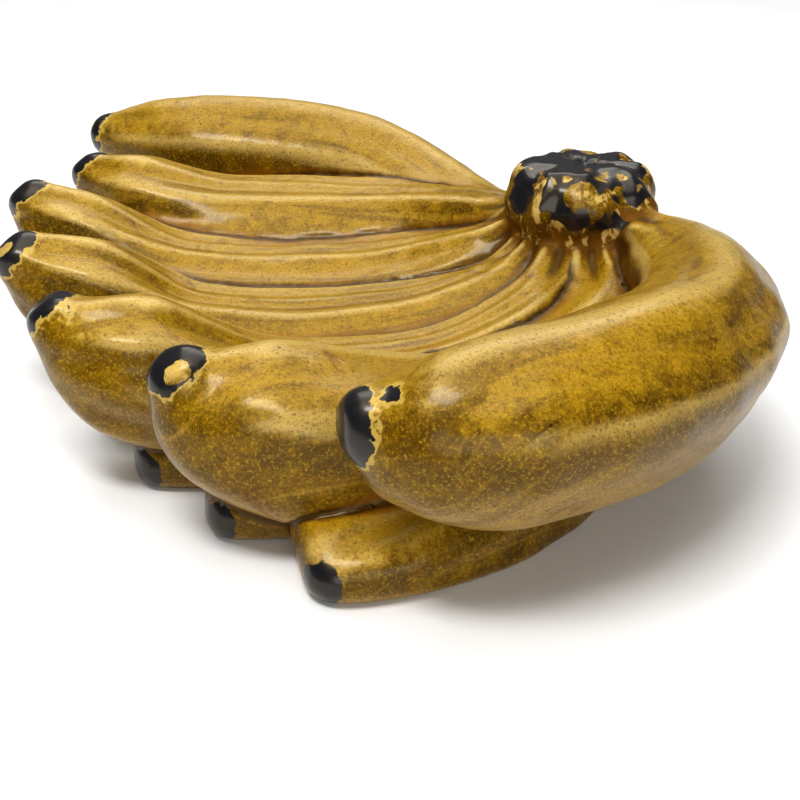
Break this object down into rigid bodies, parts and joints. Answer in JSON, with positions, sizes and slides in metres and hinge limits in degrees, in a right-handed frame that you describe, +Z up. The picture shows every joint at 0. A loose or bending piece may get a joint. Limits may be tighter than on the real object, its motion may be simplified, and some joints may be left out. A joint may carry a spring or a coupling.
{
  "type": "ceramic banana bunch dish",
  "caption": "Glazed ceramic serving dish shaped like a hand of bananas: curved upper fingers form the bowl, a lower tier carries it, and all grow from a stubby crown.",
  "frame": {"origin": "centre of the footprint box, on the table surface", "axes": "+Z up out of the bowl, +X towards the crown, finger tips towards -X, +Y along the long side of the dish"},
  "size_m": [0.2484, 0.3005, 0.0714],
  "materials": {
    "amber_glaze": "gloss",
    "crown_glaze": "gloss"
  },
  "bodies": {
    "root": {"crown": "crown_glaze", "upper_finger_1": "amber_glaze", "upper_finger_2": "amber_glaze", "upper_finger_3": "amber_glaze", "upper_finger_4": "amber_glaze", "upper_finger_5": "amber_glaze", "upper_finger_6": "amber_glaze", "upper_finger_7": "amber_glaze", "lower_finger_1": "amber_glaze", "lower_finger_2": "amber_glaze", "lower_finger_3": "amber_glaze", "lower_finger_4": "amber_glaze", "lower_finger_5": "amber_glaze", "lower_finger_6": "amber_glaze", "lower_finger_7": "amber_glaze", "lower_finger_8": "amber_glaze", "lower_finger_9": "amber_glaze"}
  },
  "joints": []
}
